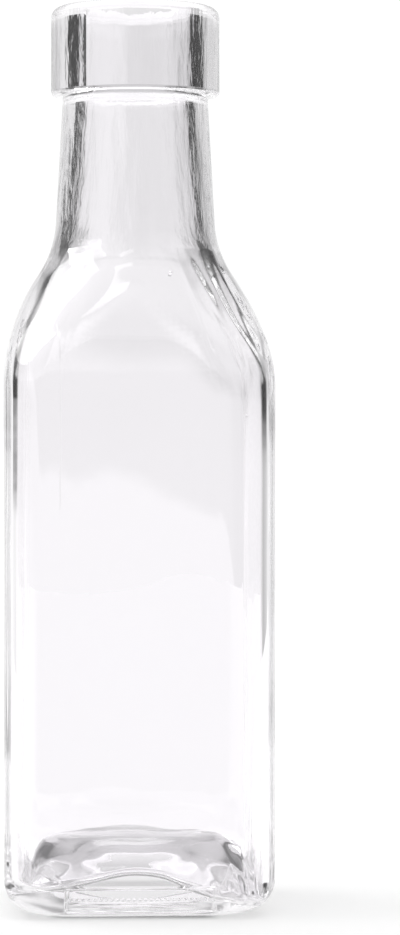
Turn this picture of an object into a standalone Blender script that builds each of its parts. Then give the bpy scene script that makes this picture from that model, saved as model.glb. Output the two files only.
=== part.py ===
"""Clear glass bottle with a square body, sloping shoulders, a round neck and a plain cork finish.

The bottle is one closed solid, lofted from level rings. A ring is a rounded square through the
body and a circle through the neck. The rings start at the middle of the underside, run up the
outside, over the lip and down the inside, and end at the middle of the thick domed floor.
"""

import math

import bmesh
import bpy

# Driving dimensions, in metres
HEIGHT = 0.165
BODY_HALF = 0.0244
BODY_CORNER = 0.0065
BODY_WALL = 0.0024

# Underside and heel
HEEL_RADIUS = 0.0068
FOOT_CORNER = 0.0070
RECESS_HALF = 0.0137
RECESS_CORNER = 0.0010
RECESS_DEPTH = 0.0010
RECESS_DRAFT = 0.0005
PUSH_UP_RADIUS = 0.0075
PUSH_UP_HEIGHT = 0.0014

# Shoulder: an arc outwards from the body's side, then a smaller arc back to the neck
SHOULDER_START = 0.095
SHOULDER_RADIUS = 0.037
SHOULDER_TURN = math.radians(34.3)
NECK_FILLET = 0.019
NECK_TAPER = math.radians(3.2)

# Cork finish: a straight band round the mouth, with rounded edges
FINISH_RADIUS = 0.01555
FINISH_HEIGHT = 0.0163
FINISH_TOP_ROUND = 0.0020
FINISH_FOOT_ROUND = 0.0011
MOUTH_ROUND = 0.0012

# Inside: the mouth steps in to the bore, which widens below its foot, and the floor is a broad
# dome with a moat round it
MOUTH_RADIUS = 0.0105
STEP_TOP = 0.1505
STEP_FOOT = 0.1480
BORE_RADIUS = 0.0098
BORE_FOOT = 0.1445
CAVITY_CORNER = 0.0041
FLOOR_FILLET_TOP = 0.0105
FLOOR_FILLET_WIDTH = 0.0020
MOAT_HEIGHT = 0.0080
DOME_RADIUS = 0.0115
DOME_HEIGHT = 0.0130
DOME_FULLNESS = 3

# Facets
POINTS_PER_CORNER = 10
HEEL_STEPS = 6
SHOULDER_STEPS = 10
FILLET_STEPS = 5
ROUND_STEPS = 4
INSIDE_STEPS = 18
FLOOR_STEPS = 6
SHARP_ANGLE = math.radians(35)

# Worked out from the dimensions above
FINISH_FOOT = HEIGHT - FINISH_HEIGHT
SHOULDER_TOP = SHOULDER_START + SHOULDER_RADIUS * math.sin(SHOULDER_TURN)
FILLET_CENTRE_X = BODY_HALF - SHOULDER_RADIUS + (SHOULDER_RADIUS + NECK_FILLET) * math.cos(SHOULDER_TURN)
FILLET_CENTRE_Z = SHOULDER_START + (SHOULDER_RADIUS + NECK_FILLET) * math.sin(SHOULDER_TURN)
NECK_START = FILLET_CENTRE_Z - NECK_FILLET * math.sin(NECK_TAPER)
NECK_START_RADIUS = FILLET_CENTRE_X - NECK_FILLET * math.cos(NECK_TAPER)
CAVITY_HALF = BODY_HALF - BODY_WALL
MOAT_HALF = CAVITY_HALF - FLOOR_FILLET_WIDTH


def ease(share):
    """A smooth step from 0 to 1, level at both ends."""
    share = min(max(share, 0.0), 1.0)
    return share * share * (3 - 2 * share)


def between(start, end, share):
    return start + (end - start) * share


def shares(steps):
    """Evenly spaced shares of the way from 0 to 1, both ends included."""
    return [step / steps for step in range(steps + 1)]


def outer_half(z):
    """Half the outside width at a height on the body, the shoulder or the neck."""
    if z <= SHOULDER_START:
        return BODY_HALF
    if z <= SHOULDER_TOP:
        rise = z - SHOULDER_START
        return BODY_HALF - SHOULDER_RADIUS + math.sqrt(SHOULDER_RADIUS**2 - rise**2)
    if z <= NECK_START:
        drop = FILLET_CENTRE_Z - z
        return FILLET_CENTRE_X - math.sqrt(NECK_FILLET**2 - drop**2)
    return NECK_START_RADIUS - (z - NECK_START) * math.tan(NECK_TAPER)


def corner_at(z, half, least):
    """Corner radius of a ring: the least in the body, a full circle from the shoulder's top."""
    share = (z - SHOULDER_START) / (SHOULDER_TOP - SHOULDER_START)
    return between(least, half, ease(share))


NECK_WALL = outer_half(BORE_FOOT) - BORE_RADIUS


def inner_half(z):
    """Half the inside width at a height between the floor's fillet and the bore's foot."""
    share = (z - SHOULDER_START) / (BORE_FOOT - SHOULDER_START)
    return outer_half(z) - between(BODY_WALL, NECK_WALL, ease(share))


# Each station below is (half the width, corner radius, height) of one ring


def underside():
    """From the middle of the push-up out to the bearing surface."""
    step_half = RECESS_HALF - RECESS_DRAFT
    rings = []
    for share in shares(FLOOR_STEPS):
        half = between(PUSH_UP_RADIUS, step_half, share)
        corner = between(PUSH_UP_RADIUS, RECESS_CORNER, ease(share))
        rings.append((half, corner, between(PUSH_UP_HEIGHT, RECESS_DEPTH, ease(share))))
    rings.append((RECESS_HALF, RECESS_CORNER, 0.0))
    return rings


def heel():
    """The quarter round between the bearing surface and the body's side."""
    rings = []
    for share in shares(HEEL_STEPS):
        angle = share * math.pi / 2
        inset = HEEL_RADIUS * (1 - math.sin(angle))
        corner = between(BODY_CORNER, FOOT_CORNER, inset / HEEL_RADIUS)
        rings.append((BODY_HALF - inset, corner, HEEL_RADIUS * (1 - math.cos(angle))))
    return rings


def shoulder():
    """The body's side, then the shoulder's two arcs."""
    heights = [
        SHOULDER_START + SHOULDER_RADIUS * math.sin(SHOULDER_TURN * share)
        for share in shares(SHOULDER_STEPS)
    ]
    for share in shares(FILLET_STEPS)[1:]:
        angle = between(SHOULDER_TURN, NECK_TAPER, share)
        heights.append(FILLET_CENTRE_Z - NECK_FILLET * math.sin(angle))
    return [(outer_half(z), corner_at(z, outer_half(z), BODY_CORNER), z) for z in heights]


def turned(points):
    """Stations of round rings from (radius, height) pairs."""
    return [(radius, radius, z) for radius, z in points]


def quarter_round(centre_radius, centre_z, size, start):
    """A quarter circle of (radius, height) pairs, turning left from its start angle in degrees."""
    angles = [math.radians(start + 90 * share) for share in shares(ROUND_STEPS)]
    return [(centre_radius + size * math.cos(a), centre_z + size * math.sin(a)) for a in angles]


def finish():
    """The neck's top, the band's outside, the lip and the mouth's rounded edge."""
    points = [(outer_half(FINISH_FOOT), FINISH_FOOT)]
    points += quarter_round(
        FINISH_RADIUS - FINISH_FOOT_ROUND, FINISH_FOOT + FINISH_FOOT_ROUND, FINISH_FOOT_ROUND, -90
    )
    points += quarter_round(
        FINISH_RADIUS - FINISH_TOP_ROUND, HEIGHT - FINISH_TOP_ROUND, FINISH_TOP_ROUND, 0
    )
    points += quarter_round(MOUTH_RADIUS + MOUTH_ROUND, HEIGHT - MOUTH_ROUND, MOUTH_ROUND, 90)
    return turned(points)


def bore():
    """The step inside the mouth, from the wide mouth in to the bore."""
    return turned(
        (between(MOUTH_RADIUS, BORE_RADIUS, ease(share)), between(STEP_TOP, STEP_FOOT, share))
        for share in shares(ROUND_STEPS)
    )


def cavity():
    """The inside of the neck, the shoulder and the walls, from the bore's foot down."""
    heights = [between(BORE_FOOT, SHOULDER_START, share) for share in shares(INSIDE_STEPS)]
    return [(inner_half(z), corner_at(z, inner_half(z), CAVITY_CORNER), z) for z in heights]


def floor():
    """The fillet at the foot of the walls, the moat and the dome."""
    rings = []
    for share in shares(FLOOR_STEPS):
        angle = share * math.pi / 2
        half = MOAT_HALF + FLOOR_FILLET_WIDTH * math.cos(angle)
        drop = (FLOOR_FILLET_TOP - MOAT_HEIGHT) * math.sin(angle)
        rings.append((half, CAVITY_CORNER, FLOOR_FILLET_TOP - drop))
    for share in shares(FLOOR_STEPS)[1:]:
        half = between(MOAT_HALF, DOME_RADIUS, share)
        corner = between(CAVITY_CORNER, DOME_RADIUS, share)
        rings.append((half, corner, between(DOME_HEIGHT, MOAT_HEIGHT, (1 - share) ** DOME_FULLNESS)))
    return rings


def ring_points(half, corner, z):
    """Points of a rounded square, or of a circle where the corner radius is half the width."""
    points = []
    for quarter in range(4):
        middle = math.radians(45 + 90 * quarter)
        centre_x = math.copysign(half - corner, math.cos(middle))
        centre_y = math.copysign(half - corner, math.sin(middle))
        for share in range(POINTS_PER_CORNER):
            angle = math.radians(90 * quarter + 90 * (share + 0.5) / POINTS_PER_CORNER)
            points.append(
                (centre_x + corner * math.cos(angle), centre_y + corner * math.sin(angle), z)
            )
    return points


def loft(mesh_data, stations):
    """Joins the rings in order and closes the first and the last with a fan of faces."""
    shape = bmesh.new()
    rings = [[shape.verts.new(point) for point in ring_points(*station)] for station in stations]
    count = len(rings[0])
    for lower, upper in zip(rings, rings[1:]):
        for i in range(count):
            j = (i + 1) % count
            shape.faces.new((lower[i], lower[j], upper[j], upper[i]))
    for ring, height in ((rings[0], stations[0][2]), (rings[-1], stations[-1][2])):
        centre = shape.verts.new((0.0, 0.0, height))
        for i in range(count):
            shape.faces.new((ring[i], ring[(i + 1) % count], centre))
    bmesh.ops.recalc_face_normals(shape, faces=shape.faces)
    shape.to_mesh(mesh_data)
    shape.free()


def glass_material():
    material = bpy.data.materials.new("clear_glass")
    material.use_nodes = True
    shader = material.node_tree.nodes["Principled BSDF"]
    shader.inputs["Base Color"].default_value = (0.96, 0.97, 0.98, 1.0)
    shader.inputs["Metallic"].default_value = 0.0
    shader.inputs["Roughness"].default_value = 0.02
    shader.inputs["IOR"].default_value = 1.52
    shader.inputs["Transmission Weight"].default_value = 1.0
    return material


def make_bottle():
    mesh = bpy.data.meshes.new("bottle")
    loft(mesh, underside() + heel() + shoulder() + finish() + bore() + cavity() + floor())
    mesh.shade_smooth()
    mesh.set_sharp_from_angle(angle=SHARP_ANGLE)
    mesh.materials.append(glass_material())
    bottle = bpy.data.objects.new("bottle", mesh)
    bpy.context.scene.collection.objects.link(bottle)


for old in list(bpy.data.objects):
    bpy.data.objects.remove(old, do_unlink=True)
make_bottle()
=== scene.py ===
"""Looks of the square clear-glass bottle: one smooth glass mesh, a white table and soft studio light.

The glass is lofted from level rings, like the solid it replaces, with a finer mesh and the slight
unevenness of moulded glass: strands down the bore, soft waves in the walls, folds in the right
shoulder, a parting line on the finish and a sunk strip along the front of the heel. All lengths
are in metres, and the studio's directions are in degrees.
"""

import math

import bpy
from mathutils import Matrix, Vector, noise


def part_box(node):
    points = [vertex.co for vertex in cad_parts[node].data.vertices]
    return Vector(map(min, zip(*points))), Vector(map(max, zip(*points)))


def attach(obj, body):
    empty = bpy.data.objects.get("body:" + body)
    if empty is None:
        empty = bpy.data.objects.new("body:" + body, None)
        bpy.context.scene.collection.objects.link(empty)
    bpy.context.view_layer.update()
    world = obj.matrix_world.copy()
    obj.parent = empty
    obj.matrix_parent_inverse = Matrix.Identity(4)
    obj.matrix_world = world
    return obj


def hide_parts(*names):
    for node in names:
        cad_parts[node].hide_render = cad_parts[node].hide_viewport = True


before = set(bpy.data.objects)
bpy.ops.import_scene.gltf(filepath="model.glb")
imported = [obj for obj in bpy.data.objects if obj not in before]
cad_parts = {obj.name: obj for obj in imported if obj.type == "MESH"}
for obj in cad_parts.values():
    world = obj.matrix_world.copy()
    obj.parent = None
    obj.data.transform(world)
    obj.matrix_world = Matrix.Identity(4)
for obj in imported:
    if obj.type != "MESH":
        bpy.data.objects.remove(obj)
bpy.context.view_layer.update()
box_low, box_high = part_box("bottle")

# Sizes read from the frame
HEIGHT = box_high.z
BODY_HALF = (box_high.x - box_low.x) / 2

# Body, underside and heel
BODY_CORNER = 0.0065
BODY_WALL = 0.0024
HEEL_RADIUS = 0.0068
FOOT_CORNER = 0.0070
RECESS_HALF = 0.0137
RECESS_CORNER = 0.0010
RECESS_DEPTH = 0.0010
RECESS_DRAFT = 0.0005
PUSH_UP_RADIUS = 0.0075
PUSH_UP_HEIGHT = 0.0014

# Shoulder: an arc outwards from the body's side, then a smaller arc back to the neck
SHOULDER_START = 0.095
SHOULDER_RADIUS = 0.037
SHOULDER_TURN = math.radians(34.3)
NECK_FILLET = 0.019
NECK_TAPER = math.radians(3.2)

# Cork finish
FINISH_RADIUS = 0.01555
FINISH_HEIGHT = 0.0163
FINISH_TOP_ROUND = 0.0020
FINISH_FOOT_ROUND = 0.0008
MOUTH_ROUND = 0.0012

# Parting line of the finish, on two sides
SEAM_ANGLE = math.radians(52.4)
SEAM_DEPTH = 0.00012
SEAM_WIDTH = 0.00025

# Inside: the mouth narrows to the bore, which widens again below the taper's foot
MOUTH_RADIUS = 0.0105
TAPER_TOP = 0.1500
TAPER_FOOT = 0.1479
BORE_RADIUS = 0.0096
CAVITY_CORNER = 0.0041
FLOOR_FILLET_TOP = 0.0098
FLOOR_FILLET_WIDTH = 0.0016
MOAT_HEIGHT = 0.0080
DOME_RADIUS = 0.0115
DOME_HEIGHT = 0.0130
DOME_FULLNESS = 3

# The floor sinks towards the body's corners, and along its front it leans down to the right
CORNER_DROP = 0.0036
CORNER_FADE = 0.0080
FRONT_LEAN = 0.06
LEAN_CENTRE = 0.0064

# Worked out from the dimensions above
FINISH_FOOT = HEIGHT - FINISH_HEIGHT
SHOULDER_TOP = SHOULDER_START + SHOULDER_RADIUS * math.sin(SHOULDER_TURN)
ARCS_RADIUS = SHOULDER_RADIUS + NECK_FILLET
FILLET_CENTRE_X = BODY_HALF - SHOULDER_RADIUS + ARCS_RADIUS * math.cos(SHOULDER_TURN)
FILLET_CENTRE_Z = SHOULDER_START + ARCS_RADIUS * math.sin(SHOULDER_TURN)
NECK_START = FILLET_CENTRE_Z - NECK_FILLET * math.sin(NECK_TAPER)
NECK_START_RADIUS = FILLET_CENTRE_X - NECK_FILLET * math.cos(NECK_TAPER)
CAVITY_HALF = BODY_HALF - BODY_WALL
MOAT_HALF = CAVITY_HALF - FLOOR_FILLET_WIDTH

# Sunk strip along the front of the heel, with a row of knurls
STRIP_LEFT, STRIP_RIGHT = -0.0134, 0.0130
STRIP_LOW, STRIP_HIGH = 0.0010, 0.0056
STRIP_EDGE = 0.00030
STRIP_DEPTH = 0.00040
KNURL_PITCH = 0.0010
KNURL_LOW, KNURL_HIGH = 0.0034, 0.0038
KNURL_HEIGHT = 0.00004
STIPPLE_TOP = 0.0034
STIPPLE_HEIGHT = 0.00012
STIPPLE_SCALE = 1500.0
STIPPLE_DRAWN = (0.06, 1.0, 1.0)

# Waves of the moulded glass: how far a layer of share 1 moves a surface, and the layers of soft
# noise, each with its share, its pitch, its seed and how much it is stretched along the height
OUTSIDE_WAVE = 0.00005
OUTSIDE_LAYERS = ((1.0, 0.011, 3.1, 1.6),)
NECK_STRANDS = 0.00006
STRAND_LAYERS = ((1.0, 0.0016, 7.7, 7.0), (0.8, 0.0034, 2.3, 3.0))
BODY_WAVES = 0.00016
BODY_LAYERS = ((0.8, 0.024, 5.9, 1.5), (0.35, 0.009, 8.3, 2.0))
FLOOR_WAVES = 0.00045
FLOOR_LAYERS = ((1.0, 0.012, 1.2, 1.0), (0.4, 0.004, 4.4, 1.0))
CRUMPLES = 0.00030
CRUMPLE_LAYERS = ((1.0, 0.0024, 6.1, 3.0),)

# Where those waves start, and over what length they come in or fade out
OUTSIDE_WAVE_START, OUTSIDE_WAVE_FADE = 0.001, 0.004
STRANDS_BELOW_SHOULDER_TOP, STRANDS_FADE = 0.006, 0.020
FLOOR_WAVE_FADE = 0.010
CRUMPLE_START_X, CRUMPLE_FADE_X = 0.0145, 0.004
CRUMPLE_TOP, CRUMPLE_FADE_Z = 0.010, 0.008

# Thick, folded glass inside the right shoulder, from a share of the half width on
THICK_SHOULDER = 0.0004
THICK_LOW, THICK_HIGH = 0.091, 0.112
THICK_FADE = 0.014
THICK_START, THICK_RISE = 0.45, 0.40
FOLDS = 0.00018
FOLD_SLANT = 0.48
FOLD_PITCH = (0.0014, 0.007, 0.014)

# Rings of fine ripples round the dome
RIPPLES = 0.00002
RIPPLE_PITCH = 0.0021
RIPPLE_START, RIPPLE_FADE = 0.008, 0.003

# Fine relief that the material gives: strands down the neck's inside, and a skin all over
STRAND_BUMP = 0.00008
STRAND_SCALE = 1100.0
STRAND_DRAWN = (1.0, 1.0, 0.22)
STRAND_RISE = 0.008
NECK_SPLIT_RADIUS = 0.0127
NECK_SPLIT_EDGE = 0.0002
SKIN_BUMP = 0.000004
SKIN_SCALE = 260.0

# Blisters in the body's front, each at its X and Z, and a faint upright line
BUBBLE_BUMP = 0.00010
BUBBLE_RADIUS = 0.00032
BUBBLES = ((0.0054, 0.1150), (0.0187, 0.0897))
PARTING_X = -0.0144
PARTING_LOW, PARTING_HIGH = 0.071, 0.1065
PARTING_FADE = 0.006
PARTING_WIDTH = 0.00030
PARTING_BUMP = 0.00003

# Clear glass
GLASS_TINT = (0.995, 0.985, 1.0, 1.0)
GLASS_IOR = 1.52
LIGHT_BOUNCES = 96

# Mesh density
FLAT_STEPS = 14
CORNER_STEPS = 26
EDGE_RINGS = 4
EDGE_COLUMNS = 13

# The photograph's frame and the camera that took it
IMAGE_WIDTH, IMAGE_HEIGHT = 400, 935
PIXELS_PER_METRE = 5424.0
AXIS_PIXEL = 135.3
HORIZON_PIXEL = 450.0
CAMERA_DISTANCE = 0.640
CAMERA_HEIGHT = 0.0836
CAMERA_YAW = math.radians(3.7)
SENSOR = 36.0
CLIP_START = 0.01

# The white table: its half width, and how far it reaches behind and in front of the bottle
TABLE_HALF_WIDTH = 0.65
TABLE_BACK = 1.4
TABLE_FRONT = 0.15
TABLE_GAP = 0.0001
TABLE_GREYS = (0.38, 0.40)
TABLE_GRAIN = 120.0
TABLE_ROUGHNESS = 0.7
TABLE_SPECULAR = 0.1

# The table's glow, painted light since the table is no lamp, and painted shade that lessens it in the
# place under the bottle, whose edges lie between two distances
TABLE_GLOW = 0.58
SHADE_ACROSS = (0.0120, 0.0165)
SHADE_ALONG = (0.0170, 0.0228)
SHADE_DEPTH = 0.65


def ease(share):
    """A smooth step from 0 to 1, level at both ends."""
    share = min(max(share, 0.0), 1.0)
    return share * share * (3 - 2 * share)


def rise(value, start, length):
    """A smooth step from 0 at the start to 1 at a length past it."""
    return ease((value - start) / length)


def between(start, end, share):
    return start + (end - start) * share


def shares(steps):
    """Evenly spaced shares of the way from 0 to 1, both ends included."""
    return [step / steps for step in range(steps + 1)]


def outer_half(z):
    """Half the outside width at a height on the body, the shoulder or the neck."""
    if z <= SHOULDER_START:
        return BODY_HALF
    if z <= SHOULDER_TOP:
        climb = z - SHOULDER_START
        return BODY_HALF - SHOULDER_RADIUS + math.sqrt(SHOULDER_RADIUS**2 - climb**2)
    if z <= NECK_START:
        drop = FILLET_CENTRE_Z - z
        return FILLET_CENTRE_X - math.sqrt(NECK_FILLET**2 - drop**2)
    return NECK_START_RADIUS - (z - NECK_START) * math.tan(NECK_TAPER)


def corner_at(z, half, least):
    """Corner radius of a ring: the least in the body, a full circle from the shoulder's top."""
    share = (z - SHOULDER_START) / (SHOULDER_TOP - SHOULDER_START)
    return between(least, half, ease(share))


NECK_WALL = outer_half(TAPER_FOOT) - BORE_RADIUS


def inner_half(z):
    """Half the inside width at a height between the floor's fillet and the taper's foot."""
    share = (z - SHOULDER_START) / (TAPER_FOOT - SHOULDER_START)
    return outer_half(z) - between(BODY_WALL, NECK_WALL, ease(share))


# Stations: (half the width, corner radius, height) of each ring, from the underside's middle up
# the outside, over the lip and down the inside to the floor's middle


def disc(radius, z, shares_of_radius):
    """Stations of a level disc's round rings."""
    return [(radius * share, radius * share, z) for share in shares_of_radius]


def underside(middle_steps=6, steps=22, step_steps=6, bearing_steps=10):
    """The push-up, the recess, its small step down and the flat ring that the bottle stands on."""
    step_half = RECESS_HALF - RECESS_DRAFT
    rings = disc(PUSH_UP_RADIUS, PUSH_UP_HEIGHT, shares(middle_steps)[1:-1])
    for share in shares(steps):
        half = between(PUSH_UP_RADIUS, step_half, share)
        corner = between(PUSH_UP_RADIUS, RECESS_CORNER, ease(share))
        rings.append((half, corner, between(PUSH_UP_HEIGHT, RECESS_DEPTH, ease(share))))
    for share in shares(step_steps)[1:]:
        half = between(step_half, RECESS_HALF, share)
        rings.append((half, RECESS_CORNER, RECESS_DEPTH * (1 - ease(share))))
    foot_half = BODY_HALF - HEEL_RADIUS
    for share in shares(bearing_steps)[1:-1]:
        half = between(RECESS_HALF, foot_half, share)
        rings.append((half, between(RECESS_CORNER, FOOT_CORNER, share), 0.0))
    return rings


def heel_inset(z):
    """How far the heel lies in from the body's side at a height."""
    return HEEL_RADIUS * (1 - math.sqrt(max(1 - (1 - z / HEEL_RADIUS) ** 2, 0.0)))


def heel(steps=18):
    """The quarter round of the heel, with rings close together at the strip's two long edges."""
    heights = [HEEL_RADIUS * (1 - math.cos(share * math.pi / 2)) for share in shares(steps)]
    for edge in (STRIP_LOW, STRIP_HIGH):
        heights += [edge + STRIP_EDGE * (share - 0.5) for share in shares(EDGE_RINGS)]
    rings = []
    for z in sorted(heights):
        inset = heel_inset(z)
        rings.append((BODY_HALF - inset, between(BODY_CORNER, FOOT_CORNER, inset / HEEL_RADIUS), z))
    return rings


def walls(body_steps=36, shoulder_steps=26, fillet_steps=12, neck_steps=16):
    """The body's sides, the shoulder's two arcs and the neck, from the heel up."""
    heights = [between(HEEL_RADIUS, SHOULDER_START, share) for share in shares(body_steps)[1:-1]]
    heights += [
        SHOULDER_START + SHOULDER_RADIUS * math.sin(SHOULDER_TURN * share)
        for share in shares(shoulder_steps)
    ]
    for share in shares(fillet_steps)[1:]:
        angle = between(SHOULDER_TURN, NECK_TAPER, share)
        heights.append(FILLET_CENTRE_Z - NECK_FILLET * math.sin(angle))
    heights += [between(NECK_START, FINISH_FOOT, share) for share in shares(neck_steps)[1:]]
    return [(outer_half(z), corner_at(z, outer_half(z), BODY_CORNER), z) for z in heights]


def turned(points):
    """Stations of round rings from (radius, height) pairs."""
    return [(radius, radius, z) for radius, z in points]


def quarter_round(centre_radius, centre_z, size, start, steps=10):
    """A quarter circle of (radius, height) pairs, turning left from its start angle in degrees."""
    angles = [math.radians(start + 90 * share) for share in shares(steps)]
    return [(centre_radius + size * math.cos(a), centre_z + size * math.sin(a)) for a in angles]


def finish(side_steps=8, top_steps=14):
    """The band round the mouth, the lip and the mouth's rounded edge."""
    foot = quarter_round(
        FINISH_RADIUS - FINISH_FOOT_ROUND, FINISH_FOOT + FINISH_FOOT_ROUND, FINISH_FOOT_ROUND, -90
    )
    top = quarter_round(
        FINISH_RADIUS - FINISH_TOP_ROUND, HEIGHT - FINISH_TOP_ROUND, FINISH_TOP_ROUND, 0, top_steps
    )
    mouth = quarter_round(MOUTH_RADIUS + MOUTH_ROUND, HEIGHT - MOUTH_ROUND, MOUTH_ROUND, 90)
    side = [
        (FINISH_RADIUS, between(foot[-1][1], top[0][1], share)) for share in shares(side_steps)[1:-1]
    ]
    return turned(foot + side + top + mouth)


def bore(mouth_steps=10, taper_steps=10):
    """The inside of the mouth and the taper in to the bore."""
    points = [
        (MOUTH_RADIUS, between(HEIGHT - MOUTH_ROUND, TAPER_TOP, share))
        for share in shares(mouth_steps)[1:-1]
    ]
    points += [
        (between(MOUTH_RADIUS, BORE_RADIUS, share**2), between(TAPER_TOP, TAPER_FOOT, share))
        for share in shares(taper_steps)
    ]
    return turned(points)


def cavity(inside_steps=50, body_steps=36):
    """The inside of the neck, the shoulder and the walls, from the taper's foot down."""
    heights = [between(TAPER_FOOT, SHOULDER_START, share) for share in shares(inside_steps)[1:]]
    heights += [
        between(SHOULDER_START, FLOOR_FILLET_TOP, share) for share in shares(body_steps)[1:-1]
    ]
    return [(inner_half(z), corner_at(z, inner_half(z), CAVITY_CORNER), z) for z in heights]


def floor_inside(fillet_steps=18, dome_steps=20, middle_steps=8):
    """The fillet at the foot of the walls, the moat and the dome."""
    rings = []
    for share in shares(fillet_steps):
        angle = share * math.pi / 2
        half = MOAT_HALF + FLOOR_FILLET_WIDTH * math.cos(angle)
        drop = (FLOOR_FILLET_TOP - MOAT_HEIGHT) * math.sin(angle)
        rings.append((half, CAVITY_CORNER, FLOOR_FILLET_TOP - drop))
    for share in shares(dome_steps)[1:]:
        half = between(MOAT_HALF, DOME_RADIUS, share)
        corner = between(CAVITY_CORNER, DOME_RADIUS, share)
        rings.append((half, corner, between(DOME_HEIGHT, MOAT_HEIGHT, (1 - share) ** DOME_FULLNESS)))
    inwards = [1 - share for share in shares(middle_steps)[1:-1]]
    return rings + disc(DOME_RADIUS, DOME_HEIGHT, inwards)


def column_angles():
    """Polar angles of the mesh's columns, close together in the corners and at the strip's ends."""
    flat = BODY_HALF - BODY_CORNER
    first = [(BODY_HALF, flat * step / FLAT_STEPS) for step in range(FLAT_STEPS)]
    for step in range(CORNER_STEPS):
        turn = math.pi / 2 * step / CORNER_STEPS
        first.append((flat + BODY_CORNER * math.cos(turn), flat + BODY_CORNER * math.sin(turn)))
    first += [(flat * (1 - step / FLAT_STEPS), BODY_HALF) for step in range(FLAT_STEPS)]
    quarter = [math.atan2(y, x) for x, y in first]
    angles = [angle + math.pi / 2 * turn for turn in range(4) for angle in quarter]
    for end in (STRIP_LEFT, STRIP_RIGHT):
        low = end / (BODY_HALF - heel_inset(STRIP_LOW))
        high = end / (BODY_HALF - heel_inset(STRIP_HIGH))
        slopes = [between(low, high, share) for share in shares(EDGE_COLUMNS)]
        angles += [1.5 * math.pi + math.atan(slope) for slope in slopes]
    return sorted(angles)


def polar_radius(angle, half, corner):
    """Distance from the axis to a rounded square's outline, in a direction."""
    turn = math.fmod(angle, math.pi / 2)
    turn = min(turn, math.pi / 2 - turn)
    flat = half - corner
    if half * math.tan(turn) <= flat:
        return half / math.cos(turn)
    reach = math.cos(turn) + math.sin(turn)
    return flat * reach + math.sqrt(max(corner**2 - flat**2 * (1 - math.sin(2 * turn)), 0.0))


def loft(name, stations):
    """A closed mesh through the stations' rings, its two ends closed with a fan."""
    angles = column_angles()
    points = []
    for half, corner, z in stations:
        for angle in angles:
            radius = polar_radius(angle, half, corner)
            points.append((radius * math.cos(angle), radius * math.sin(angle), z))
    count = len(angles)
    faces = []
    for ring in range(len(stations) - 1):
        start = ring * count
        for i in range(count):
            j = (i + 1) % count
            faces.append((start + i, start + j, start + count + j, start + count + i))
    last = (len(stations) - 1) * count
    points += [(0.0, 0.0, stations[0][2]), (0.0, 0.0, stations[-1][2])]
    for i in range(count):
        j = (i + 1) % count
        faces.append((len(points) - 2, j, i))
        faces.append((len(points) - 1, last + i, last + j))
    mesh = bpy.data.meshes.new(name)
    mesh.from_pydata(points, [], faces)
    mesh.validate()
    mesh.shade_smooth()
    return mesh


def wavy(point, pitch, seed, stretch):
    """Soft noise between -1 and 1 at a point, with waves of a pitch, stretched along the height."""
    place = Vector((point.x / pitch, point.y / pitch, point.z / (pitch * stretch)))
    return noise.noise(place + Vector((seed, -seed, 0.5 * seed)))


def layered(point, layers):
    """The sum of a few layers of soft noise at a point."""
    return sum(share * wavy(point, pitch, seed, stretch) for share, pitch, seed, stretch in layers)


def corner_sag(point):
    """How far the floor sinks towards the corners of the body."""
    reach = math.hypot(point.x, point.y)
    towards_corner = (1 - math.cos(4 * math.atan2(point.y, point.x))) / 2
    past_dome = ease((reach - DOME_RADIUS) / (CAVITY_HALF - DOME_RADIUS))
    near_floor = 1 - ease((point.z - FLOOR_FILLET_TOP) / CORNER_FADE)
    lean = FRONT_LEAN * (point.x + LEAN_CENTRE) * ease(-point.y / CAVITY_HALF)
    return (CORNER_DROP * towards_corner + lean) * past_dome * near_floor


def in_strip(point):
    """How far a point of the outside lies in the heel's strip: 1 well inside it, 0 outside it."""
    if point.y > HEEL_RADIUS - BODY_HALF:
        return 0.0
    share = 1.0
    for value, low, high in ((point.x, STRIP_LEFT, STRIP_RIGHT), (point.z, STRIP_LOW, STRIP_HIGH)):
        share *= ease(min(value - low, high - value) / STRIP_EDGE + 0.5)
    return share


def seam_groove(point):
    """How deep the parting line is at a point of the finish."""
    if not FINISH_FOOT < point.z < HEIGHT - FINISH_TOP_ROUND:
        return 0.0
    turn = math.remainder(math.atan2(point.y, point.x) - SEAM_ANGLE, math.pi)
    return SEAM_DEPTH * math.exp(-((FINISH_RADIUS * turn / SEAM_WIDTH) ** 2))


def outside_shift(point):
    """How far the outside is moved along its normal: never out of the solid's box."""
    clear_of_foot = rise(point.z, OUTSIDE_WAVE_START, OUTSIDE_WAVE_FADE)
    wave = OUTSIDE_WAVE * clear_of_foot * (0.5 + 0.5 * layered(point, OUTSIDE_LAYERS))
    return -wave - seam_groove(point) - STRIP_DEPTH * in_strip(point)


def wall_shift(point):
    """Strands in the neck, and broad waves below it."""
    in_neck = rise(point.z, SHOULDER_TOP - STRANDS_BELOW_SHOULDER_TOP, STRANDS_FADE)
    strands = NECK_STRANDS * layered(point, STRAND_LAYERS) * in_neck
    return strands + BODY_WAVES * layered(point, BODY_LAYERS) * (1 - in_neck)


def crumple_shift(point):
    """Crumples in the floor's two right corners."""
    on_right = rise(point.x, CRUMPLE_START_X, CRUMPLE_FADE_X)
    in_corner = on_right * (1 - rise(point.z, CRUMPLE_TOP, CRUMPLE_FADE_Z))
    return CRUMPLES * in_corner * layered(point, CRUMPLE_LAYERS)


def shoulder_shift(point):
    """The right shoulder's thicker glass, with its slanting folds."""
    rightwards = point.x / inner_half(min(max(point.z, SHOULDER_START), TAPER_FOOT))
    at_height = rise(point.z, THICK_LOW, THICK_FADE) * (1 - rise(point.z, THICK_HIGH, THICK_FADE))
    on_right = rise(rightwards, THICK_START, THICK_RISE) * at_height
    across, along, up = FOLD_PITCH
    slanted = point.x + FOLD_SLANT * point.z
    fold = noise.noise(Vector((slanted / across, point.y / along, point.z / up)))
    return on_right * (THICK_SHOULDER + FOLDS * fold)


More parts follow.
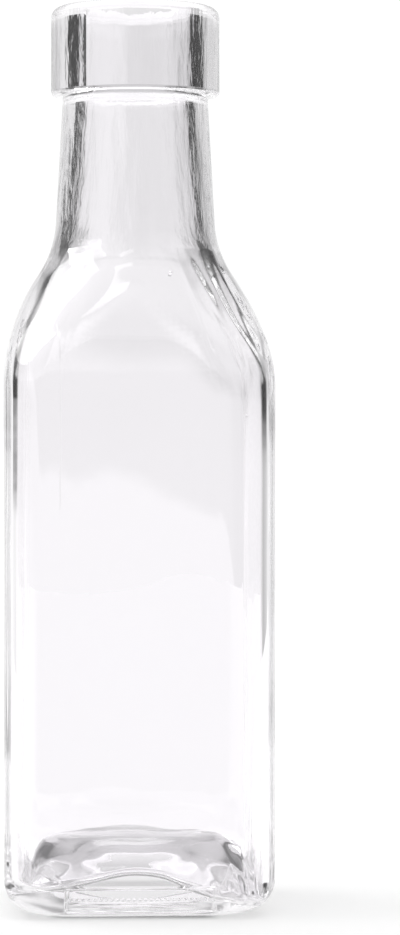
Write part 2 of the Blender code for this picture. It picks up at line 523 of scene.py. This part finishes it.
def floor_shift(point):
    """Ripples round the dome, and waves all over the floor."""
    on_floor = 1 - rise(point.z, MOAT_HEIGHT, FLOOR_WAVE_FADE)
    reach = math.hypot(point.x, point.y)
    ripple = rise(reach, RIPPLE_START, RIPPLE_FADE) * math.sin(2 * math.pi * reach / RIPPLE_PITCH)
    return on_floor * (RIPPLES * ripple + FLOOR_WAVES * layered(point, FLOOR_LAYERS))


def inside_shift(point):
    """How far the inside is moved along its normal."""
    return wall_shift(point) + crumple_shift(point) + shoulder_shift(point) + floor_shift(point)


def make_glass():
    """The bottle's one piece of glass."""
    outside = underside() + heel() + walls() + finish()
    inside = bore() + cavity() + floor_inside()
    mesh = loft("bottle_glass", outside + inside)
    first_inside = len(outside) * len(column_angles())
    for vertex, normal in zip(mesh.vertices, [item.vector.copy() for item in mesh.vertex_normals]):
        on_outside = vertex.index < first_inside or vertex.index == len(mesh.vertices) - 2
        if on_outside:
            vertex.co += normal * outside_shift(vertex.co)
        else:
            vertex.co += normal * inside_shift(vertex.co)
            vertex.co.z -= corner_sag(vertex.co)
    glass = bpy.data.objects.new("bottle_glass", mesh)
    bpy.context.scene.collection.objects.link(glass)
    return glass


class Nodes:
    """Adds shader nodes to a tree, with values or links as inputs."""

    def __init__(self, owner):
        owner.use_nodes = True
        self.tree = owner.node_tree

    def add(self, kind, inputs=None, **settings):
        made = self.tree.nodes.new(kind)
        for name, value in settings.items():
            setattr(made, name, value)
        for socket, value in (inputs or {}).items():
            self.give(made.inputs[socket], value)
        return made

    def give(self, socket, value):
        if isinstance(value, bpy.types.NodeSocket):
            self.tree.links.new(value, socket)
        elif isinstance(value, (int, float)) and socket.type == "RGBA":
            socket.default_value = (value, value, value, 1.0)
        else:
            socket.default_value = value

    def math(self, operation, *values):
        return self.add("ShaderNodeMath", dict(enumerate(values)), operation=operation).outputs[0]

    def vector(self, operation, *values):
        return self.add("ShaderNodeVectorMath", dict(enumerate(values)), operation=operation)

    def grain(self, where, scale, detail, drawn=None):
        """Noise at a place, drawn out along an axis if a scale for each axis is given."""
        if drawn:
            where = self.add("ShaderNodeMapping", {"Vector": where, "Scale": drawn}).outputs[0]
        inputs = {"Vector": where, "Scale": scale, "Detail": detail}
        return self.add("ShaderNodeTexNoise", inputs).outputs[0]

    def step(self, value, low, high):
        """A smooth step from 0 at low to 1 at high."""
        inputs = {"Value": value, "From Min": low, "From Max": high}
        return self.add("ShaderNodeMapRange", inputs, interpolation_type="SMOOTHSTEP").outputs[0]

    def mix(self, share, first, second):
        made = self.add("ShaderNodeMix", {"Factor": share}, data_type="RGBA")
        self.give(made.inputs[6], first)
        self.give(made.inputs[7], second)
        return made.outputs[2]

    def ramp(self, value, low, high, stops):
        """A grey colour ramp over a value's range, with stops of (value, grey)."""
        share = self.math("DIVIDE", self.math("SUBTRACT", value, low), high - low)
        made = self.add("ShaderNodeValToRGB", {0: share})
        points = made.color_ramp.elements
        while len(points) < len(stops):
            points.new(1.0)
        for point, (where, grey) in zip(points, stops):
            point.position = (where - low) / (high - low)
            point.color = (grey, grey, grey, 1.0)
        return made.outputs[0]


def heel_strip(nodes, where, place):
    """Height of the fine relief in the sunk strip, from the X, Y and Z of a place on the glass."""
    def within(value, low, high):
        enter = nodes.step(value, low - STRIP_EDGE / 2, low + STRIP_EDGE / 2)
        leave = nodes.step(value, high + STRIP_EDGE / 2, high - STRIP_EDGE / 2)
        return nodes.math("MULTIPLY", enter, leave)

    in_front = nodes.math("LESS_THAN", place["Y"], HEEL_RADIUS - BODY_HALF)
    along = nodes.math("MULTIPLY", within(place["X"], STRIP_LEFT, STRIP_RIGHT), in_front)
    wave = nodes.math("SINE", nodes.math("MULTIPLY", place["X"], 2 * math.pi / KNURL_PITCH))
    row = nodes.math("MULTIPLY", along, within(place["Z"], KNURL_LOW, KNURL_HIGH))
    knurl = nodes.math("MULTIPLY", nodes.math("MULTIPLY", wave, row), KNURL_HEIGHT)
    grain = nodes.grain(where, STIPPLE_SCALE, detail=2.0, drawn=STIPPLE_DRAWN)
    stippled = nodes.math("MULTIPLY", along, within(place["Z"], STRIP_LOW, STIPPLE_TOP))
    rough = nodes.math("MULTIPLY", nodes.math("MULTIPLY", grain, stippled), STIPPLE_HEIGHT)
    return nodes.math("ADD", knurl, rough)


def parting_line(nodes, place):
    """Height of the faint upright line in the body's front, from the X, Y and Z of a place."""
    off = nodes.math("ABSOLUTE", nodes.math("SUBTRACT", place["X"], PARTING_X))
    ridge = nodes.step(off, PARTING_WIDTH / 2, 0.0)
    foot = nodes.step(place["Z"], PARTING_LOW, PARTING_LOW + PARTING_FADE)
    top = nodes.step(place["Z"], PARTING_HIGH, PARTING_HIGH - PARTING_FADE)
    in_front = nodes.math("LESS_THAN", place["Y"], 0.0)
    shown = nodes.math("MULTIPLY", nodes.math("MULTIPLY", foot, top), in_front)
    return nodes.math("MULTIPLY", nodes.math("MULTIPLY", ridge, shown), PARTING_BUMP)


def bubbles(nodes, place):
    """Height of the few small blisters in the body's front, from the X, Y and Z of a place."""
    def squared_distance(value, middle):
        distance = nodes.math("ABSOLUTE", nodes.math("SUBTRACT", value, middle))
        return nodes.math("POWER", distance, 2)

    in_front = nodes.math("LESS_THAN", place["Y"], 0.0)
    height = 0.0
    for x, z in BUBBLES:
        away = nodes.math("ADD", squared_distance(place["X"], x), squared_distance(place["Z"], z))
        blister = nodes.step(away, BUBBLE_RADIUS**2, 0.0)
        height = nodes.math("ADD", nodes.math("MULTIPLY", blister, BUBBLE_BUMP), height)
    return nodes.math("MULTIPLY", height, in_front)


def neck_strands(nodes, where, place):
    """Height of the fine strands on the neck's inside, from the X, Y and Z of a place."""
    flat = nodes.vector("MULTIPLY", where, (1.0, 1.0, 0.0)).outputs["Vector"]
    radius = nodes.vector("LENGTH", flat).outputs["Value"]
    inner = nodes.step(radius, NECK_SPLIT_RADIUS + NECK_SPLIT_EDGE, NECK_SPLIT_RADIUS - NECK_SPLIT_EDGE)
    above_body = nodes.step(place["Z"], SHOULDER_TOP, SHOULDER_TOP + STRAND_RISE)
    in_neck = nodes.math("MULTIPLY", inner, above_body)
    grain = nodes.grain(where, STRAND_SCALE, detail=3.0, drawn=STRAND_DRAWN)
    return nodes.math("MULTIPLY", nodes.math("MULTIPLY", grain, in_neck), STRAND_BUMP)


def glass_material():
    """Clear glass, with fine relief as bump."""
    material = bpy.data.materials.new("clear_glass")
    nodes = Nodes(material)
    shader = nodes.tree.nodes["Principled BSDF"]
    shader.inputs["Base Color"].default_value = GLASS_TINT
    shader.inputs["Roughness"].default_value = 0.0
    shader.inputs["IOR"].default_value = GLASS_IOR
    shader.inputs["Transmission Weight"].default_value = 1.0
    where = nodes.add("ShaderNodeTexCoord").outputs["Object"]
    place = nodes.add("ShaderNodeSeparateXYZ", {0: where}).outputs
    height = neck_strands(nodes, where, place)
    for relief in (
        nodes.math("MULTIPLY", nodes.grain(where, SKIN_SCALE, detail=1.0), SKIN_BUMP),
        heel_strip(nodes, where, place),
        parting_line(nodes, place),
        bubbles(nodes, place),
    ):
        height = nodes.math("ADD", height, relief)
    bump = nodes.add("ShaderNodeBump", {"Height": height, "Strength": 1.0, "Distance": 1.0})
    nodes.give(shader.inputs["Normal"], bump.outputs[0])
    return material


def table_material():
    """Matt white board, faintly mottled, glowing evenly as painted light but for painted shade in the
    place under the bottle.
    """
    material = bpy.data.materials.new("white_table")
    nodes = Nodes(material)
    shader = nodes.tree.nodes["Principled BSDF"]
    shader.inputs["Roughness"].default_value = TABLE_ROUGHNESS
    shader.inputs["Specular IOR Level"].default_value = TABLE_SPECULAR
    shader.inputs["Emission Color"].default_value = (1.0, 1.0, 1.0, 1.0)
    where = nodes.add("ShaderNodeTexCoord").outputs["Object"]
    mottle = nodes.grain(where, TABLE_GRAIN, detail=4.0)
    nodes.give(shader.inputs["Base Color"], nodes.mix(mottle, *TABLE_GREYS))
    place = nodes.add("ShaderNodeSeparateXYZ", {0: where}).outputs
    # Painted shade: a box under the bottle where the table's glow is dimmed
    across = nodes.step(nodes.math("ABSOLUTE", place["X"]), SHADE_ACROSS[1], SHADE_ACROSS[0])
    along = nodes.step(nodes.math("ABSOLUTE", place["Y"]), SHADE_ALONG[1], SHADE_ALONG[0])
    shade = nodes.math("MULTIPLY", nodes.math("MULTIPLY", across, along), SHADE_DEPTH)
    # Painted light: the table glows though it is no lamp, which lifts the shadows cast on it
    glow = nodes.math("MULTIPLY", nodes.math("SUBTRACT", 1.0, shade), TABLE_GLOW)
    nodes.give(shader.inputs["Emission Strength"], glow)
    return material


def make_table():
    """The table: a stage that isn't part of the bottle."""
    mesh = bpy.data.meshes.new("table")
    corners = [
        (-TABLE_HALF_WIDTH, -TABLE_FRONT, 0.0), (TABLE_HALF_WIDTH, -TABLE_FRONT, 0.0),
        (TABLE_HALF_WIDTH, TABLE_BACK, 0.0), (-TABLE_HALF_WIDTH, TABLE_BACK, 0.0),
    ]
    mesh.from_pydata(corners, [], [(0, 1, 2, 3)])
    table = bpy.data.objects.new("table", mesh)
    table.location.z = box_low.z - TABLE_GAP
    table.rotation_euler.z = -CAMERA_YAW
    bpy.context.scene.collection.objects.link(table)
    mesh.materials.append(table_material())


# Radiance round the horizon: (degrees from the view's direction, positive to the right; value)
HORIZON_LIGHT = (
    (-180, 0.30), (-150, 0.30), (-125, 0.40), (-85, 0.40), (-78, 0.35), (-67, 0.02), (-44, 0.02),
    (-40, 0.45), (-35, 0.80), (-20, 0.93), (-7, 0.94), (-2, 0.84), (4, 0.80), (8, 0.84), (12, 0.80),
    (20, 0.72), (28, 0.55), (38, 0.45), (44, 0.03), (66, 0.02), (76, 0.30), (100, 0.40), (130, 0.40),
    (150, 0.30), (180, 0.30),
)

# The same below the horizon and a little above it, where the table runs on
LOW_LIGHT = (
    (-180, 0.33), (-165, 0.40), (-145, 0.80), (-112, 0.85), (-75, 1.00), (-60, 0.80), (-42, 0.93),
    (-25, 0.94), (-8, 0.93), (-3, 0.98), (1, 0.98), (5, 0.91), (15, 0.89), (30, 0.85), (42, 0.65),
    (62, 0.50), (78, 0.80), (110, 0.85), (145, 0.75), (165, 0.40), (180, 0.33),
)

# And in two bands above that
MID_LIGHT = (
    (-180, 0.80), (-120, 0.80), (-80, 0.60), (-58, 0.50), (-51, 0.06), (-37, 0.06), (-31, 0.40),
    (-22, 0.52), (-8, 0.62), (4, 0.62), (14, 0.52), (30, 0.42), (44, 0.36), (48, 0.06), (54, 0.06),
    (60, 0.45), (76, 0.50), (100, 0.60), (150, 0.80), (180, 0.80),
)
HIGH_LIGHT = (
    (-180, 0.80), (-120, 0.80), (-80, 0.60), (-56, 0.50), (-46, 0.06), (-26, 0.06), (-20, 0.50),
    (-8, 0.62), (4, 0.62), (12, 0.50), (20, 0.15), (26, 0.06), (46, 0.06), (56, 0.45), (76, 0.50),
    (100, 0.60), (150, 0.80), (180, 0.80),
)
UPPER_LIGHT = 0.85
OVERHEAD_LIGHT = 1.35
SEEN_LIGHT = 1.05

# Elevations between which one band goes over into the next
LOW_EDGE = (3.4, 1.6)
MID_EDGE = (7.5, 12)
HIGH_EDGE = (16, 18.5)
UPPER_EDGE = (30, 36)
OVERHEAD_EDGE = (36, 58)

# To the sides, beyond these azimuths, the low band ends lower
LOW_DROP_EDGE = (34, 42)
LOW_LIGHT_DROP = 2.2

# The far table is brighter below a line that slants across the view
FAR_TABLE_GAIN = 1.09
FAR_TABLE_SLANT = 0.33
FAR_TABLE_EDGE = (-0.9, -1.25)

# Softboxes: azimuth and elevation of the middle, half the width and half the height, radiance, and
# how far the softbox climbs for each degree across
SOFTBOXES = (
    ((-78, 46), (33, 11), 4.5, -0.12),
    ((-157, 65), (19, 2.2), 3.8, 0.08),
)
SOFTBOX_EDGE = 1.0


def softbox(nodes, azimuth, elevation, place, size, climb):
    """1 inside a softbox and 0 outside it, with soft edges."""
    sideways = nodes.math("WRAP", nodes.math("SUBTRACT", azimuth, place[0]), 180, -180)
    line = nodes.math("ADD", nodes.math("MULTIPLY", sideways, climb), place[1])
    across = nodes.math("ABSOLUTE", sideways)
    up = nodes.math("ABSOLUTE", nodes.math("SUBTRACT", elevation, line))
    return nodes.math(
        "MULTIPLY",
        nodes.step(across, size[0] + SOFTBOX_EDGE, size[0] - SOFTBOX_EDGE),
        nodes.step(up, size[1] + SOFTBOX_EDGE, size[1] - SOFTBOX_EDGE),
    )


def room_light(nodes, azimuth, elevation):
    """Radiance of the room's bands, from the horizon up to the ceiling."""
    light = nodes.ramp(azimuth, -180, 180, HORIZON_LIGHT)
    middle = nodes.ramp(azimuth, -180, 180, MID_LIGHT)
    light = nodes.mix(nodes.step(elevation, *MID_EDGE), light, middle)
    high = nodes.ramp(azimuth, -180, 180, HIGH_LIGHT)
    light = nodes.mix(nodes.step(elevation, *HIGH_EDGE), light, high)
    light = nodes.mix(nodes.step(elevation, *UPPER_EDGE), light, UPPER_LIGHT)
    low = nodes.ramp(azimuth, -180, 180, LOW_LIGHT)
    slanted = nodes.math("ADD", elevation, nodes.math("MULTIPLY", azimuth, FAR_TABLE_SLANT))
    gain = nodes.mix(nodes.step(slanted, *FAR_TABLE_EDGE), 1.0, FAR_TABLE_GAIN)
    low = nodes.vector("MULTIPLY", low, gain).outputs[0]
    aside = nodes.step(nodes.math("ABSOLUTE", azimuth), *LOW_DROP_EDGE)
    lifted = nodes.math("ADD", elevation, nodes.math("MULTIPLY", aside, LOW_LIGHT_DROP))
    light = nodes.mix(nodes.step(lifted, *LOW_EDGE), light, low)
    return nodes.mix(nodes.step(elevation, *OVERHEAD_EDGE), light, OVERHEAD_LIGHT)


def make_world():
    """The studio round the bottle, plain and pale where the camera sees it directly."""
    world = bpy.data.worlds.new("studio")
    bpy.context.scene.world = world
    nodes = Nodes(world)
    nodes.tree.nodes.clear()
    coords = nodes.add("ShaderNodeTexCoord")
    inputs = {"Vector": coords.outputs["Generated"], "Angle": CAMERA_YAW}
    turn = nodes.add("ShaderNodeVectorRotate", inputs, rotation_type="Z_AXIS")
    parts = nodes.add("ShaderNodeSeparateXYZ", {0: turn.outputs[0]})
    degrees = 180 / math.pi
    bearing = nodes.math("ARCTAN2", parts.outputs["X"], parts.outputs["Y"])
    azimuth = nodes.math("MULTIPLY", bearing, degrees)
    elevation = nodes.math("MULTIPLY", nodes.math("ARCSINE", parts.outputs["Z"]), degrees)
    light = room_light(nodes, azimuth, elevation)
    for place, size, radiance, climb in SOFTBOXES:
        inside = softbox(nodes, azimuth, elevation, place, size, climb)
        light = nodes.mix(inside, light, radiance)
    path = nodes.add("ShaderNodeLightPath")
    seen = nodes.mix(path.outputs["Is Camera Ray"], light, SEEN_LIGHT)
    background = nodes.add("ShaderNodeBackground", {"Color": seen})
    nodes.add("ShaderNodeOutputWorld", {"Surface": background.outputs[0]})


def make_camera():
    """The camera that took the photograph, a little to the left of the bottle's front."""
    camera = bpy.data.objects.new("camera", bpy.data.cameras.new("camera"))
    bpy.context.scene.collection.objects.link(camera)
    forward = Vector((math.sin(CAMERA_YAW), math.cos(CAMERA_YAW), 0.0))
    right = Vector((math.cos(CAMERA_YAW), -math.sin(CAMERA_YAW), 0.0))
    sideways = (IMAGE_WIDTH / 2 - AXIS_PIXEL) / PIXELS_PER_METRE
    focal_pixels = PIXELS_PER_METRE * CAMERA_DISTANCE
    camera.location = -forward * CAMERA_DISTANCE + right * sideways + Vector((0, 0, CAMERA_HEIGHT))
    dip = (IMAGE_HEIGHT / 2 - HORIZON_PIXEL) / focal_pixels
    aim = (forward - Vector((0, 0, dip))).normalized()
    camera.rotation_mode = "QUATERNION"
    camera.rotation_quaternion = aim.to_track_quat("-Z", "Y")
    camera.data.sensor_width = SENSOR
    camera.data.lens = focal_pixels / IMAGE_HEIGHT * SENSOR
    camera.data.clip_start = CLIP_START
    bpy.context.scene.camera = camera


def write_sizes():
    """Brings the scene's objects up to date."""
    bpy.context.view_layer.update()


glass = make_glass()
glass.data.materials.append(glass_material())
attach(glass, "root")
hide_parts("bottle")
make_table()
make_world()
make_camera()
scene = bpy.context.scene
scene.view_settings.view_transform = "Standard"
scene.cycles.max_bounces = LIGHT_BOUNCES
scene.cycles.transmission_bounces = LIGHT_BOUNCES
scene.cycles.glossy_bounces = LIGHT_BOUNCES
write_sizes()
